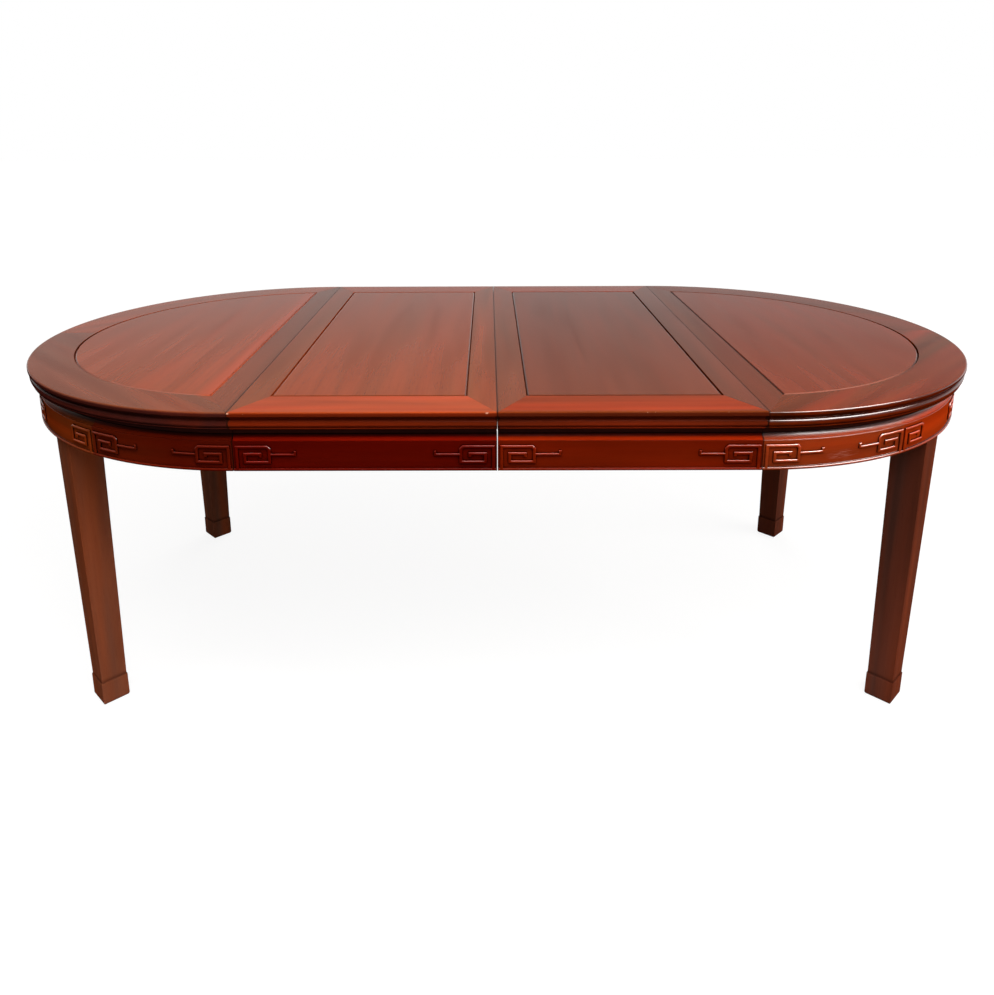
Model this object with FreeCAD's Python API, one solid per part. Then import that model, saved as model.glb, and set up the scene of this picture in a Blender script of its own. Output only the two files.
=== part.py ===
import FreeCAD, Part
import math
import os

# Extending dining table: two half-round ends on four legs, drawn apart on wooden runners,
# with two loose leaves between them. Millimetres, +Z up, +X along the table, front at -Y.
# The origin is on the floor under the middle of the top. It is modelled open, leaves in.

# The whole table
table_height = 762.0
end_radius = 610.0
leaf_width = 495.0
joint_gap = 0.6

# Top: moulded frames with floating panels
top_thickness = 36.0
rim_width = 95.0
side_rail_width = 57.0
arris_radius = 4.0
lip_height = 4.0
cove_radius = 8.0
bead_height = 15.0
bead_depth = 5.5
fillet_depth = 2.0
fillet_slope = 1.2
panel_thickness = 18.0
panel_gap = 0.6
panel_bevel_width = 5.5
panel_bevel_depth = 3.5
tongue_thickness = 8.0
tongue_length = 9.0
tongue_clearance = 0.2
batten_width = 40.0
batten_thickness = 17.0
end_batten_distance = 280.0
leaf_batten_spread = 500.0

# Waist and apron
waist_height = 16.0
waist_inset = 12.0
apron_inset = 20.0
apron_height = 70.0
apron_thickness = 25.0
apron_cove_radius = 10.5
apron_setback = 1.7
foot_bead_height = 6.0
corner_segment_angle = 29.0

# Key fret carved in relief at both ends of every apron segment
fret_relief = 3.5
fret_sink = 1.0
fret_bar = 6.5
fret_margin = 7.0
fret_width = 61.0
fret_height = 30.5
fret_base = 17.5
fret_inner_step = 15.0
fret_inner_width = 29.0
fret_inner_height = 16.5
fret_inner_hook = 6.0
fret_dash_level = 32.5
fret_dash_length = 48.0
fret_dash_hook = 7.0

# Legs
leg_angle = 45.0
leg_setback = 15.0
leg_top = 68.0
leg_bottom = 55.0
foot_width = 58.0
foot_height = 57.0
foot_rounding = 5.0
stub_shoulder = 2.0
fit_clearance = 0.2

# Corner blocks and the coach bolts that draw the legs to them
corner_block_length = 330.0
corner_block_thickness = 32.0
corner_block_drop = 78.0
bolt_diameter = 8.0
bolt_length = 62.0
bolt_head_width = 13.0
bolt_head_height = 5.5
bolt_flange_diameter = 18.0
bolt_flange_thickness = 2.0
bolt_low_level = 28.0
bolt_high_level = 62.0

# Slides: a middle runner with a runner of each end beside it, front and back
runner_width = 26.0
runner_height = 50.0
runner_spread = 300.0
runner_gap = 0.5
runner_reach = 390.0
runner_end_gap = 6.0
middle_runner_inset = 45.0
slide_clearance = 0.4
dovetail_depth = 8.0
dovetail_root = 12.0
dovetail_tip = 18.0
leaf_seat_gap = 0.5
tie_spread = 400.0
tie_width = 45.0
tie_thickness = 14.0

# Wood screws
screw_diameter = 5.0
screw_head_diameter = 10.0
screw_head_height = 3.0
screw_counterbore = 10.0
screw_bite = 15.0
tie_screw_length = 40.0
rail_screw_distance = 30.0
rim_screw_distance = 20.0
hole_clearance = 0.1

# Levels and radii that follow
under_top = table_height - top_thickness
under_panel = table_height - panel_thickness
apron_top = under_top - waist_height
apron_bottom = apron_top - apron_height
frame_radius = end_radius - rim_width
apron_radius = end_radius - apron_inset
apron_inner = apron_radius - apron_thickness
waist_radius = apron_radius - waist_inset
leg_radius = apron_inner - leg_setback
half_gap = joint_gap / 2
apron_start = half_gap + apron_setback
runner_bottom = under_top - runner_height
middle_y = runner_spread / 2
runner_offset = runner_width + runner_gap

up = FreeCAD.Vector(0, 0, 1)
origin = FreeCAD.Vector(0, 0, 0)


def vector(x, y, z):
    return FreeCAD.Vector(x, y, z)


def polygon_face(points):
    corners = [vector(*point) for point in points]
    return Part.Face(Part.makePolygon(corners + corners[:1]))


def box(x0, x1, y0, y1, z0, z1):
    return Part.makeBox(x1 - x0, y1 - y0, z1 - z0, vector(x0, y0, z0))


def prism(outline, z0, z1):
    return polygon_face([(x, y, z0) for x, y in outline]).extrude(vector(0, 0, z1 - z0))


def turned(shape, angle):
    copy = shape.copy()
    copy.rotate(origin, up, angle)
    return copy


def sweep(section, a0, a1):
    """Revolve a section that stands over the X axis, from one angle to another."""
    return turned(section, a0).revolve(origin, up, a1 - a0)


def ring_sector(r0, r1, z0, z1, a0, a1):
    return sweep(polygon_face([(r0, 0, z0), (r1, 0, z0), (r1, 0, z1), (r0, 0, z1)]), a0, a1)


def cylinder_x(radius, x0, x1, y, z):
    return Part.makeCylinder(radius, x1 - x0, vector(x0, y, z), vector(1, 0, 0))


def cylinder_z(radius, x, y, z0, z1):
    return Part.makeCylinder(radius, z1 - z0, vector(x, y, z0))


def tidy(shape):
    clean = shape.removeSplitter()
    return clean.Solids[0] if len(clean.Solids) == 1 else Part.makeCompound(clean.Solids)


# Section of the moulded top: arris, lip, cove, bead and a small fillet down to the underside.
def top_section(outer):
    bead_x = outer - cove_radius
    cove_top = table_height - arris_radius - lip_height
    bead_top = cove_top - cove_radius
    bead_bottom = bead_top - bead_height
    diagonal = math.sqrt(0.5)
    below = vector(0, 0, under_top)
    fillet_low = vector(bead_x + fillet_depth, 0, under_top)
    fillet_high = vector(bead_x + fillet_depth, 0, bead_bottom - fillet_slope)
    bead_low = vector(bead_x, 0, bead_bottom)
    bead_middle = vector(bead_x + bead_depth, 0, (bead_top + bead_bottom) / 2)
    bead_high = vector(bead_x, 0, bead_top)
    cove_middle = vector(outer - cove_radius * diagonal, 0, bead_top + cove_radius * diagonal)
    lip_low = vector(outer, 0, cove_top)
    lip_high = vector(outer, 0, table_height - arris_radius)
    arris_step = arris_radius * (1 - diagonal)
    arris_middle = vector(outer - arris_step, 0, table_height - arris_step)
    arris_high = vector(outer - arris_radius, 0, table_height)
    above = vector(0, 0, table_height)
    edges = [
        Part.makeLine(below, fillet_low),
        Part.makeLine(fillet_low, fillet_high),
        Part.makeLine(fillet_high, bead_low),
        Part.Arc(bead_low, bead_middle, bead_high).toShape(),
        Part.Arc(bead_high, cove_middle, lip_low).toShape(),
        Part.makeLine(lip_low, lip_high),
        Part.Arc(lip_high, arris_middle, arris_high).toShape(),
        Part.makeLine(arris_high, above),
        Part.makeLine(above, below),
    ]
    return Part.Face(Part.Wire(edges))


# Edge of a floating panel as (distance from its middle, level), from the tongue up to the field.
def panel_edge(opening):
    field = opening - panel_gap
    tongue = field + tongue_length
    tongue_top = under_panel + tongue_thickness
    return [
        (tongue, under_panel),
        (tongue, tongue_top),
        (field, tongue_top),
        (field, table_height - panel_bevel_depth),
        (field - panel_bevel_width, table_height),
    ]


def half_panel_section(opening):
    edge = [(0, under_panel)] + panel_edge(opening) + [(0, table_height)]
    return polygon_face([(x, 0, z) for x, z in edge])


def panel_section(opening):
    edge = panel_edge(opening)
    other = [(-x, z) for x, z in reversed(edge)]
    return polygon_face([(x, 0, z) for x, z in edge + other])


def groove_levels():
    return under_panel - tongue_clearance, under_panel + tongue_thickness + tongue_clearance


groove_depth = tongue_length + tongue_clearance


# Section of the apron: plain face, coved top, raised bead along the bottom edge.
def apron_section():
    face = apron_radius
    raised = apron_radius + fret_relief
    bead = apron_bottom + foot_bead_height
    sunk = apron_cove_radius * math.sqrt(0.5)
    cove_low = vector(face, 0, apron_top - apron_cove_radius)
    cove_middle = vector(face - sunk, 0, apron_top - sunk)
    cove_high = vector(face - apron_cove_radius, 0, apron_top)
    outline = Part.makePolygon([
        cove_high,
        vector(apron_inner, 0, apron_top),
        vector(apron_inner, 0, apron_bottom),
        vector(raised, 0, apron_bottom),
        vector(raised, 0, bead),
        vector(face, 0, bead),
        cove_low,
    ])
    cove = Part.Arc(cove_low, cove_middle, cove_high).toShape()
    return Part.Face(Part.Wire(outline.Edges + [cove]))


# Bars of one fret as (start, end, low, high): along the apron from the joint, and up from its bottom.
def fret_bars(with_dash):
    half = fret_bar / 2
    near = fret_margin
    far = near + fret_width
    inner = near + fret_inner_step
    hook = inner + fret_inner_width
    low = fret_base
    high = fret_base + fret_height
    middle = fret_base + fret_inner_height
    lines = [
        (near, near, 0, high),
        (near, far, high, high),
        (far, far, low, high),
        (inner, far, low, low),
        (inner, inner, low, middle),
        (inner, hook, middle, middle),
        (hook, hook, middle - fret_inner_hook, middle),
    ]
    if with_dash:
        tip = far + fret_dash_length
        lines.append((far, tip, fret_dash_level, fret_dash_level))
        lines.append((tip, tip, fret_dash_level, fret_dash_level + fret_dash_hook))
    return [(u0 - half, u1 + half, max(v0 - half, 0), v1 + half) for u0, u1, v0, v1 in lines]


def curved_apron(a0, a1, with_dash):
    base = sweep(apron_section(), a0, a1)
    bars = []
    for u0, u1, v0, v1 in fret_bars(with_dash):
        start = math.degrees(u0 / apron_radius)
        end = math.degrees(u1 / apron_radius)
        levels = (apron_bottom + v0, apron_bottom + v1)
        radii = (apron_radius - fret_sink, apron_radius + fret_relief)
        bars.append(ring_sector(*radii, *levels, a0 + start, a0 + end))
        bars.append(ring_sector(*radii, *levels, a1 - end, a1 - start))
    return tidy(base.fuse(bars))


# A straight apron along the back of a leaf, between two ends along X.
def straight_apron(x0, x1):
    base = turned(apron_section(), 90)
    base.translate(vector(x0, 0, 0))
    base = base.extrude(vector(x1 - x0, 0, 0))
    bars = []
    for u0, u1, v0, v1 in fret_bars(True):
        depth = (apron_radius - fret_sink, apron_radius + fret_relief)
        levels = (apron_bottom + v0, apron_bottom + v1)
        bars.append(box(x0 + u0, x0 + u1, *depth, *levels))
        bars.append(box(x1 - u1, x1 - u0, *depth, *levels))
    return tidy(base.fuse(bars))


def wood_screw(x, y, seat, length):
    """Pan-head screw driven upwards, its head under the seat."""
    head = cylinder_z(screw_head_diameter / 2, x, y, seat - screw_head_height, seat)
    return tidy(head.fuse(cylinder_z(screw_diameter / 2, x, y, seat - screw_head_height, seat + length)))


def screw_hole(x, y, z0, z1):
    return cylinder_z(screw_diameter / 2 + hole_clearance, x, y, z0, z1)


# Runners of an end: the front one lies inside its middle runner, the back one outside.
# Each entry is (name, centre line in Y).
end_runner_lines = (
    ("front", -middle_y + runner_offset),
    ("back", middle_y + runner_offset),
)


def runner_end(y):
    side = abs(y) + runner_width / 2
    return math.sqrt((apron_inner - runner_end_gap) ** 2 - side ** 2)


def runner_screw_places(y):
    rim = frame_radius + rim_screw_distance
    return (rail_screw_distance, math.sqrt(rim ** 2 - y ** 2))


screw_seat = runner_bottom + screw_counterbore


def dovetail(face_y, towards, x0, x1, clearance):
    """Dovetail bar standing off a face, along X; the clearance makes it a groove's cutter."""
    root = dovetail_root / 2 + clearance
    tip = dovetail_tip / 2 + clearance
    depth = dovetail_depth + clearance
    middle = runner_bottom + runner_height / 2
    outline = [
        (x0, face_y, middle - root),
        (x0, face_y + towards * depth, middle - tip),
        (x0, face_y + towards * depth, middle + tip),
        (x0, face_y, middle + root),
    ]
    return polygon_face(outline).extrude(vector(x1 - x0, 0, 0))


def end_runner(y):
    x0 = -runner_reach
    x1 = runner_end(y)
    y0 = y - runner_width / 2
    y1 = y + runner_width / 2
    low = runner_bottom + leaf_seat_gap
    body = box(x0, half_gap, y0, y1, low, under_top - leaf_seat_gap)
    body = body.fuse(box(half_gap, x1, y0, y1, low, under_top))
    body = body.cut(dovetail(y0 - runner_gap, 1, x0, x1, slide_clearance))
    for x in runner_screw_places(y):
        body = body.cut(cylinder_z(screw_head_diameter / 2 + hole_clearance, x, y, low, screw_seat))
        body = body.cut(screw_hole(x, y, screw_seat, under_top))
    return tidy(body)


def runner_screws():
    length = under_top - screw_seat + screw_bite
    screws = []
    for name, y in end_runner_lines:
        for x in runner_screw_places(y):
            screws.append(wood_screw(x, y, screw_seat, length))
    return Part.makeCompound(screws)


# Half-round top of an end: frame blank, opening, groove, then the mitred pieces.
def end_top():
    beyond = 2 * end_radius
    blank = sweep(top_section(end_radius), -90, 90)
    blank = blank.common(box(half_gap, beyond, -beyond, beyond, 0, beyond))
    low, high = groove_levels()
    opening = half_disc(frame_radius, side_rail_width, under_top, table_height)
    groove = half_disc(frame_radius + groove_depth, side_rail_width - groove_depth, low, high)
    frame = blank.cut(opening).cut(groove)
    for name, y in end_runner_lines:
        for x in runner_screw_places(y):
            frame = frame.cut(screw_hole(x, y, under_top, under_top + screw_bite + hole_clearance))
    corner = math.sqrt(frame_radius ** 2 - side_rail_width ** 2)
    mitre = prism([
        (0, -end_radius),
        (side_rail_width, -corner),
        (side_rail_width, corner),
        (0, end_radius),
    ], under_top, table_height)
    rim = frame.cut(mitre)
    front = box(0, beyond, -beyond, 0, 0, beyond)
    return {
        "cross_rail": tidy(frame.common(mitre)),
        "rim_front": tidy(rim.common(front)),
        "rim_back": tidy(rim.cut(front)),
    }


def half_disc(radius, x0, z0, z1):
    disc = Part.makeCylinder(radius, z1 - z0, vector(0, 0, z0))
    return disc.common(box(x0, radius, -radius, radius, z0, z1))


def end_panel():
    round_edge = sweep(half_panel_section(frame_radius), -90, 90)
    # The straight edge faces the cross rail, so its section is turned to look towards -X.
    straight = turned(half_panel_section(frame_radius - side_rail_width), 180)
    straight.translate(vector(frame_radius, -frame_radius - tongue_length, 0))
    straight = straight.extrude(vector(0, 2 * (frame_radius + tongue_length), 0))
    # The round edge has its tongue beyond the frame's opening, past the straight section's middle.
    beyond = box(frame_radius, frame_radius + tongue_length, -frame_radius, frame_radius,
                 under_panel, table_height)
    return tidy(round_edge.common(straight.fuse(beyond)))


def end_batten():
    strip = box(end_batten_distance - batten_width / 2, end_batten_distance + batten_width / 2,
                -frame_radius, frame_radius, under_panel - batten_thickness, under_panel)
    inside = cylinder_z(frame_radius - panel_gap, 0, 0, under_panel - batten_thickness, under_panel)
    return tidy(strip.common(inside))


# Legs and their corner blocks are made on the X axis and turned to their angle.
def leg_stub_outer():
    half = leg_top / 2 - stub_shoulder
    return math.sqrt(apron_inner ** 2 - half ** 2) - fit_clearance


def bolt_places():
    return (apron_bottom + bolt_low_level, apron_bottom + bolt_high_level)


leg_inner = leg_radius - leg_top / 2
block_inner = leg_inner - corner_block_thickness
bolt_hole = bolt_diameter / 2 + hole_clearance


def square_wire(width, z):
    half = width / 2
    points = [(-half, -half), (half, -half), (half, half), (-half, half)]
    corners = [vector(leg_radius + x, y, z) for x, y in points]
    return Part.makePolygon(corners + corners[:1])


def leg():
    sections = [square_wire(leg_bottom, foot_height), square_wire(leg_top, apron_bottom)]
    shaft = Part.makeLoft(sections, True, True)
    half_foot = foot_width / 2
    foot = box(leg_radius - half_foot, leg_radius + half_foot, -half_foot, half_foot, 0, foot_height)
    low_edges = [edge for edge in foot.Edges if edge.BoundBox.ZMax < foot_height / 2]
    foot = foot.makeFillet(foot_rounding, low_edges)
    half_stub = leg_top / 2 - stub_shoulder
    stub = box(leg_inner, leg_stub_outer(), -half_stub, half_stub, apron_bottom, under_top)
    body = shaft.fuse([foot, stub])
    for z in bolt_places():
        body = body.cut(cylinder_x(bolt_hole, block_inner, block_inner + bolt_length, 0, z))
    return tidy(body)


def corner_block():
    half_length = corner_block_length / 2
    low = under_top - corner_block_drop
    body = box(block_inner, apron_inner, -half_length, half_length, low, under_top)
    body = body.common(cylinder_z(apron_inner - fit_clearance, 0, 0, low, under_top))
    half_notch = leg_top / 2 - stub_shoulder + fit_clearance
    body = body.cut(box(leg_inner, apron_inner, -half_notch, half_notch, low, under_top))
    for z in bolt_places():
        body = body.cut(cylinder_x(bolt_hole, block_inner, leg_inner, 0, z))
    return tidy(body)


def coach_bolt(z):
    """Hexagon head with a flange, its shank through the block into the leg."""
    head_x = block_inner - bolt_flange_thickness
    shank = cylinder_x(bolt_diameter / 2, head_x, block_inner + bolt_length, 0, z)
    flange = cylinder_x(bolt_flange_diameter / 2, head_x, block_inner, 0, z)
    across = bolt_head_width / math.sqrt(3)
    corners = []
    sides = 6
    for step in range(sides):
        angle = 2 * math.pi * step / sides
        corners.append((head_x, across * math.cos(angle), z + across * math.sin(angle)))
    head = polygon_face(corners).extrude(vector(-bolt_head_height, 0, 0))
    return tidy(shank.fuse([flange, head]))


def end_section():
    """One end about the centre of its half round, with its split face on the Y axis."""
    nodes = end_top()
    nodes["end_panel"] = end_panel()
    nodes["end_batten"] = end_batten()
    split = 90 - math.degrees(math.asin(apron_start / apron_radius))
    nodes["waist"] = ring_sector(apron_inner, waist_radius, apron_top, under_top, -split, split)
    outer_joint = leg_angle + corner_segment_angle / 2
    inner_joint = leg_angle - corner_segment_angle / 2
    nodes["apron_front"] = curved_apron(-split, -outer_joint, True)
    nodes["apron_front_corner"] = curved_apron(-outer_joint, -inner_joint, False)
    nodes["apron_end"] = curved_apron(-inner_joint, inner_joint, True)
    nodes["apron_back_corner"] = curved_apron(inner_joint, outer_joint, False)
    nodes["apron_back"] = curved_apron(outer_joint, split, True)
    bolts = []
    for side, angle in (("front", -leg_angle), ("back", leg_angle)):
        nodes["leg_" + side] = turned(leg(), angle)
        nodes["corner_block_" + side] = turned(corner_block(), angle)
        bolts += [turned(coach_bolt(z), angle) for z in bolt_places()]
    nodes["leg_bolts"] = Part.makeCompound(bolts)
    for name, y in end_runner_lines:
        nodes["runner_" + name] = end_runner(y)
    nodes["runner_screws"] = runner_screws()
    return nodes


# A leaf between its two joints, from the middle of the table outwards.
def leaf_section():
    x0 = half_gap
    x1 = leaf_width - half_gap
    rail_x0 = side_rail_width
    rail_x1 = leaf_width - side_rail_width
    half_opening = end_radius - rim_width
    back_half = turned(top_section(end_radius), 90)
    back_half.translate(vector(x0, 0, 0))
    back_half = back_half.extrude(vector(x1 - x0, 0, 0))
    front_half = back_half.mirror(origin, vector(0, 1, 0))
    low, high = groove_levels()
    opening = box(rail_x0, rail_x1, -half_opening, half_opening, under_top, table_height)
    groove = box(rail_x0 - groove_depth, rail_x1 + groove_depth,
                 -half_opening - groove_depth, half_opening + groove_depth, low, high)
    frame = tidy(back_half.fuse(front_half)).cut(opening).cut(groove)
    outlines = {
        "leaf_front_rail": [(0, -end_radius), (leaf_width, -end_radius),
                            (rail_x1, -half_opening), (rail_x0, -half_opening)],
        "leaf_back_rail": [(0, end_radius), (leaf_width, end_radius),
                           (rail_x1, half_opening), (rail_x0, half_opening)],
        "leaf_inner_rail": [(0, -end_radius), (rail_x0, -half_opening),
                            (rail_x0, half_opening), (0, end_radius)],
        "leaf_outer_rail": [(leaf_width, -end_radius), (rail_x1, -half_opening),
                            (rail_x1, half_opening), (leaf_width, end_radius)],
    }
    nodes = {}
    for name, outline in outlines.items():
        nodes[name] = tidy(frame.common(prism(outline, under_top, table_height)))
    nodes["leaf_panel"] = leaf_panel(rail_x0, rail_x1, half_opening)
    battens = []
    for side in (-1, 1):
        y = side * leaf_batten_spread / 2
        width = (y - batten_width / 2, y + batten_width / 2)
        levels = (under_panel - batten_thickness, under_panel)
        battens.append(box(rail_x0 + panel_gap, rail_x1 - panel_gap, *width, *levels))
    nodes["leaf_battens"] = Part.makeCompound(battens)
    apron_x0 = apron_start
    apron_x1 = leaf_width - apron_start
    strip = box(apron_x0, apron_x1, apron_inner, waist_radius, apron_top, under_top)
    nodes["leaf_waist"] = Part.makeCompound([strip.mirror(origin, vector(0, 1, 0)), strip])
    apron = straight_apron(apron_x0, apron_x1)
    nodes["leaf_apron_front"] = apron.mirror(origin, vector(0, 1, 0))
    nodes["leaf_apron_back"] = apron
    return nodes


def leaf_panel(rail_x0, rail_x1, half_opening):
    half_length = (rail_x1 - rail_x0) / 2
    reach = half_opening + tongue_length
    across = panel_section(half_length)
    across.translate(vector((rail_x0 + rail_x1) / 2, -reach, 0))
    across = across.extrude(vector(0, 2 * reach, 0))
    along = turned(panel_section(half_opening), 90)
    along.translate(vector(rail_x0 - tongue_length, 0, 0))
    along = along.extrude(vector(rail_x1 - rail_x0 + 2 * tongue_length, 0, 0))
    return tidy(across.common(along))


# Middle runners with a dovetail on each side, tied under both by two bars.
def middle_runner(y):
    x1 = leaf_width - middle_runner_inset
    y0 = y - runner_width / 2
    y1 = y + runner_width / 2
    body = box(-x1, x1, y0, y1, runner_bottom, under_top)
    body = body.fuse([dovetail(y0, -1, -x1, x1, 0), dovetail(y1, 1, -x1, x1, 0)])
    for x in (-tie_spread / 2, tie_spread / 2):
        body = body.cut(screw_hole(x, y, runner_bottom, runner_bottom - tie_thickness + tie_screw_length))
    return tidy(body)


def ties_and_screws():
    half_length = middle_y + runner_width / 2
    ties = []
    screws = []
    for x in (-tie_spread / 2, tie_spread / 2):
        tie = box(x - tie_width / 2, x + tie_width / 2, -half_length, half_length,
                  runner_bottom - tie_thickness, runner_bottom)
        for y in (-middle_y, middle_y):
            tie = tie.cut(screw_hole(x, y, runner_bottom - tie_thickness, runner_bottom))
            screws.append(wood_screw(x, y, runner_bottom - tie_thickness, tie_screw_length))
        ties.append(tidy(tie))
    return Part.makeCompound(ties), Part.makeCompound(screws)


def other_side(name):
    if "front" in name:
        return name.replace("front", "back")
    return name.replace("back", "front")


# The left half is the right half turned half a turn, so its front pieces come from the back.
def whole_table():
    right = {}
    for name, shape in end_section().items():
        shape.translate(vector(leaf_width, 0, 0))
        right[name] = shape
    right.update(leaf_section())
    nodes = {}
    for name, shape in right.items():
        nodes["right_" + name] = shape
        nodes["left_" + other_side(name)] = turned(shape, 180)
    nodes["middle_runner_front"] = middle_runner(-middle_y)
    nodes["middle_runner_back"] = middle_runner(middle_y)
    nodes["runner_ties"], nodes["tie_screws"] = ties_and_screws()
    return nodes


os.makedirs("parts", exist_ok=True)
for node, shape in whole_table().items():
    if not shape.isValid():
        raise ValueError(node + " is not a valid shape")
    shape.exportStep("parts/" + node + ".step")
    print(node, len(shape.Solids), round(shape.Volume))
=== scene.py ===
# %% [markdown]
# # An extending dining table
# A rosewood table stands open on four square legs. Two half-round ends carry the legs, and two
# loose leaves lie between them on hidden runners. The engineering model gives every size, so the
# lesson starts by loading it, and only adds what the eye wants: softened edges, rounded carving
# and lacquered wood.

# %% Load the engineering model
import math
import bpy
from mathutils import Matrix, Vector


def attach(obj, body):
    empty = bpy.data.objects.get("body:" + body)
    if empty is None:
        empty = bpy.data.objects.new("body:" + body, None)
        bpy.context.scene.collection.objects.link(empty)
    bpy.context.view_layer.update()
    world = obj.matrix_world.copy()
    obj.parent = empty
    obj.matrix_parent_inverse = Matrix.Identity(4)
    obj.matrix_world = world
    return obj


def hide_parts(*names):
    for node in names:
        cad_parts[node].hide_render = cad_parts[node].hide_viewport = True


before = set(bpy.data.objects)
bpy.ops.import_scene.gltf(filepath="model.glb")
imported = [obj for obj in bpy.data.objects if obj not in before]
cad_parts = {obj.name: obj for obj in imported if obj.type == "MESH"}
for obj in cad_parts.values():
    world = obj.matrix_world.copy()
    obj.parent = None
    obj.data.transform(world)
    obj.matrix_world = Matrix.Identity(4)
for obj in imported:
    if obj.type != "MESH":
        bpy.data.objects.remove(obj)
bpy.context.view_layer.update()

# %% [markdown]
# ## The camera
# The photograph was taken from half a metre above the top, almost square to the long side. Its lens
# and place were worked out from the joints in the top and the feet, so the camera is set by numbers
# and not by eye. The picture is a crop from a larger frame, and the shift of the lens repeats that.

# %% Camera
frame_pixels = 995
focal_pixels = 829.27
sensor_width = 36
yaw, pitch, roll = 0.0043, -0.244, 0.0038
turn = Matrix.Rotation(yaw, 3, "Z") @ Matrix.Rotation(pitch, 3, "X") @ Matrix.Rotation(roll, 3, "Y")
right, forward, above = turn.col
bpy.ops.object.select_all(action="DESELECT")
bpy.ops.object.camera_add(location=(-0.0162, -2.0375, 1.2682))
camera = bpy.context.object
camera.rotation_euler = Matrix((right, above, -forward)).transposed().to_euler()
camera.data.sensor_width = sensor_width
camera.data.lens = sensor_width * focal_pixels / frame_pixels
camera.data.shift_x = 0.0122
camera.data.shift_y = -0.1665
bpy.context.scene.camera = camera
print("lens:", round(camera.data.lens, 2), "mm")

# %% [markdown]
# ## The floor
# The table stands on a white sweep. A floor that only glowed would lose the shadow, so it glows for the
# most part and is lit for the rest, and the feet keep a faint shadow. Bounced light meets a plain
# grey floor instead, so that the white doesn't light the table from below. Node trees are long to
# write out, so a helper adds a node and fills its sockets in one go.

# %% Floor
def fill(tree, socket, value):
    """Link another node's output to a socket, or set the socket's own value."""
    if isinstance(value, bpy.types.NodeSocket):
        tree.links.new(value, socket)
    else:
        socket.default_value = value


def node(tree, kind, place, operation=None, **inputs):
    """Add a shader node and fill its sockets, by name, or by number as in _0."""
    made = tree.nodes.new("ShaderNode" + kind)
    made.location = place
    if operation:
        made.operation = operation
    for key, value in inputs.items():
        name = int(key[1:]) if key[0] == "_" else key.replace("_", " ")
        fill(tree, made.inputs[name], value)
    return made


def tone(tree, place, value, low, high, to_low, to_high):
    """Carry a value from one range over to another, held at both ends."""
    return node(tree, "MapRange", place, Value=value, _1=low, _2=high, _3=to_low, _4=to_high).outputs[0]


def new_tree(data):
    """Switch the nodes of a material or world on, and start with none."""
    data.use_nodes = True
    data.node_tree.nodes.clear()
    return data.node_tree


def seen_directly(tree):
    """1 for a ray from the camera, or one mirrored or bent on its way; 0 for bounced light."""
    path = node(tree, "LightPath", (-900, 300)).outputs
    sharp = node(tree, "Math", (-700, 300), "MAXIMUM", _0=path["Is Camera Ray"], _1=path["Is Glossy Ray"])
    clear = node(tree, "Math", (-500, 300), "MAXIMUM", _0=sharp.outputs[0], _1=path["Is Transmission Ray"])
    return clear.outputs[0]


bpy.ops.object.select_all(action="DESELECT")
bpy.ops.mesh.primitive_plane_add(size=60, location=(0, 0, 0))
floor = bpy.context.object
floor.name = "floor"
floor_paint = bpy.data.materials.new("pale_floor")
tree = new_tree(floor_paint)
spot = node(tree, "TexCoord", (-1100, -150)).outputs["Object"]
distance = node(tree, "VectorMath", (-900, -150), "LENGTH", _0=spot).outputs["Value"]
glow_level = tone(tree, (-700, -150), distance, 1.5, 5.0, 0.89, 0.97)
lit = node(tree, "BsdfDiffuse", (-500, 0), Color=(0.18, 0.18, 0.18, 1))
glow = node(tree, "Emission", (-500, -150), Color=(1, 1, 1, 1), Strength=glow_level)
both = node(tree, "AddShader", (-250, 0), _0=lit.outputs[0], _1=glow.outputs[0])
plain = node(tree, "BsdfDiffuse", (-250, -200), Color=(0.36, 0.355, 0.35, 1))
choice = node(tree, "MixShader", (0, 0), Fac=seen_directly(tree), _1=plain.outputs[0], _2=both.outputs[0])
node(tree, "OutputMaterial", (200, 0), Surface=choice.outputs[0])
floor.data.materials.append(floor_paint)
print("floor:", round(floor.dimensions.x), "m wide")

# %% [markdown]
# ## The light
# The camera sees white all round. Polished wood mirrors that white only low down, where the backdrop
# is, and a dimmer room above it. For bounced light the room is dim, a little brighter on the right, the
# side of the window. Five soft lamps do the rest: one overhead, a window on the right, a window above the
# camera, one behind for the far side, and a white card on the right that shows only in the polish.

# %% World
world = bpy.data.worlds.new("studio")
bpy.context.scene.world = world
tree = new_tree(world)
where = node(tree, "TexCoord", (-1100, 0))
direction = node(tree, "SeparateXYZ", (-900, 0), Vector=where.outputs["Generated"]).outputs
low_down = tone(tree, (-700, 0), direction["Z"], 0.145, 0.185, 1.0, 0.25)
camera_ray = node(tree, "LightPath", (-700, 500)).outputs["Is Camera Ray"]
white = node(tree, "Math", (-550, 150), "MAXIMUM", _0=low_down, _1=camera_ray)
backdrop = node(tree, "Background", (-400, 100), Color=(1, 1, 1, 1), Strength=white.outputs[0])
window_side = tone(tree, (-700, -250), direction["X"], -1.0, 1.0, 0.15, 0.35)
room = node(tree, "Background", (-400, -100), Color=(1.0, 0.97, 0.94, 1), Strength=window_side)
choice = node(tree, "MixShader", (-150, 0), Fac=seen_directly(tree), _1=room.outputs[0],
              _2=backdrop.outputs[0])
node(tree, "OutputWorld", (50, 0), Surface=choice.outputs[0])
print("world:", world.name)

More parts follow.
